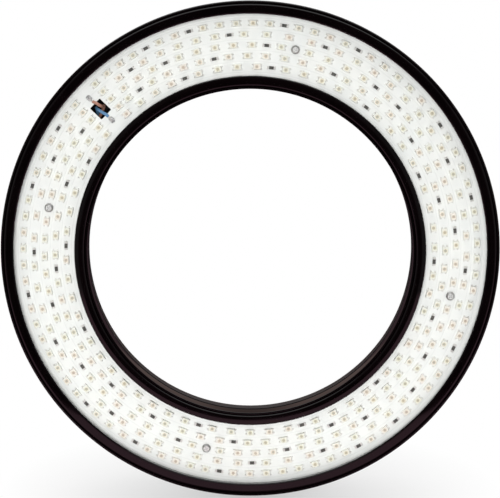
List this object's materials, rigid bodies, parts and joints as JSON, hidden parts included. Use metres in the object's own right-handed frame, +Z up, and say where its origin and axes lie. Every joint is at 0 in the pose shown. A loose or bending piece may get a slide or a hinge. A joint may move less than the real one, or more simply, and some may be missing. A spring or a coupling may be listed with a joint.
{
  "type": "led ring light",
  "caption": "Flat ring light: white LED board framed by gloss black bezels, control cover with dimmer, switch and inlet behind, tilting foot for a light stand.",
  "frame": {"origin": "middle of the foot pad's underside, at the mouth of the threaded stand socket", "axes": "-Z out of the stand socket, +Z up the ring, the lit face looks along -Y and the control cover faces +Y, +X is to the right seen from the front"},
  "size_m": [0.24, 0.069, 0.249],
  "materials": {
    "gloss_black": "piano black with a faint brown-purple tint",
    "satin_black": "fine moulded texture",
    "board_white": "white solder mask with soldered LEDs and resistors",
    "board_green": "green solder mask",
    "zinc_steel": "bright zinc plate",
    "black_aluminium": "black anodised, fine blasted",
    "insert_brass": "turned",
    "black_rubber": "matt",
    "red_pvc": "smooth wire insulation",
    "blue_pvc": "smooth wire insulation",
    "ferrite": "dark sintered core with copper winding",
    "capacitor_sleeve": "shrink sleeve over a can",
    "chip_black": "moulded epoxy"
  },
  "bodies": {
    "foot": {"stand_foot": "black_aluminium", "thread_insert": "insert_brass", "foot_pad": "black_rubber"},
    "ring": {"outer_bezel": "gloss_black", "inner_bezel": "gloss_black", "front_shell": "gloss_black", "rear_shell": "satin_black", "led_board": "board_white", "board_screw_1": "zinc_steel", "board_screw_2": "zinc_steel", "board_screw_3": "zinc_steel", "board_screw_4": "zinc_steel", "shell_screw_1": "zinc_steel", "shell_screw_2": "zinc_steel", "shell_screw_3": "zinc_steel", "shell_screw_4": "zinc_steel", "shell_screw_5": "zinc_steel", "shell_screw_6": "zinc_steel", "cover_screw_1": "zinc_steel", "cover_screw_2": "zinc_steel", "cover_screw_3": "zinc_steel", "cover_screw_4": "zinc_steel", "bracket_screw_1": "zinc_steel", "bracket_screw_2": "zinc_steel", "control_cover": "satin_black", "driver_board": "board_green", "choke": "ferrite", "capacitor": "capacitor_sleeve", "driver_chip": "chip_black", "dimmer_pot": "black_aluminium", "pot_nut": "zinc_steel", "switch_housing": "satin_black", "power_inlet": "satin_black", "tilt_bracket": "black_aluminium", "hinge_bolt": "zinc_steel", "hinge_washer_1": "zinc_steel", "hinge_washer_2": "zinc_steel", "red_lead": "red_pvc", "blue_lead": "blue_pvc"},
    "dimmer": {"dimmer_knob": "satin_black", "pot_shaft": "zinc_steel"},
    "rocker": {"power_rocker": "gloss_black"},
    "clamp": {"clamp_knob": "black_rubber", "clamp_insert": "insert_brass"}
  },
  "joints": [
    {"name": "tilt", "type": "hinge", "parent": "foot", "child": "ring", "pos_m": [0, 0, 0.025], "axis": [-1, 0, 0], "range_deg": [-20, 90]},
    {"name": "dimmer_turn", "type": "hinge", "parent": "ring", "child": "dimmer", "pos_m": [-0.04574, -0.014, 0.03923], "axis": [0, -1, 0], "range_deg": [0, 300]},
    {"name": "switch_rock", "type": "hinge", "parent": "ring", "child": "rocker", "pos_m": [0.03856, -0.014, 0.03592], "axis": [-1, 0, 0], "range_deg": [0, 14]},
    {"name": "clamp_turn", "type": "hinge", "parent": "ring", "child": "clamp", "pos_m": [0, 0, 0.025], "axis": [-1, 0, 0], "range_deg": [0, 180]}
  ]
}
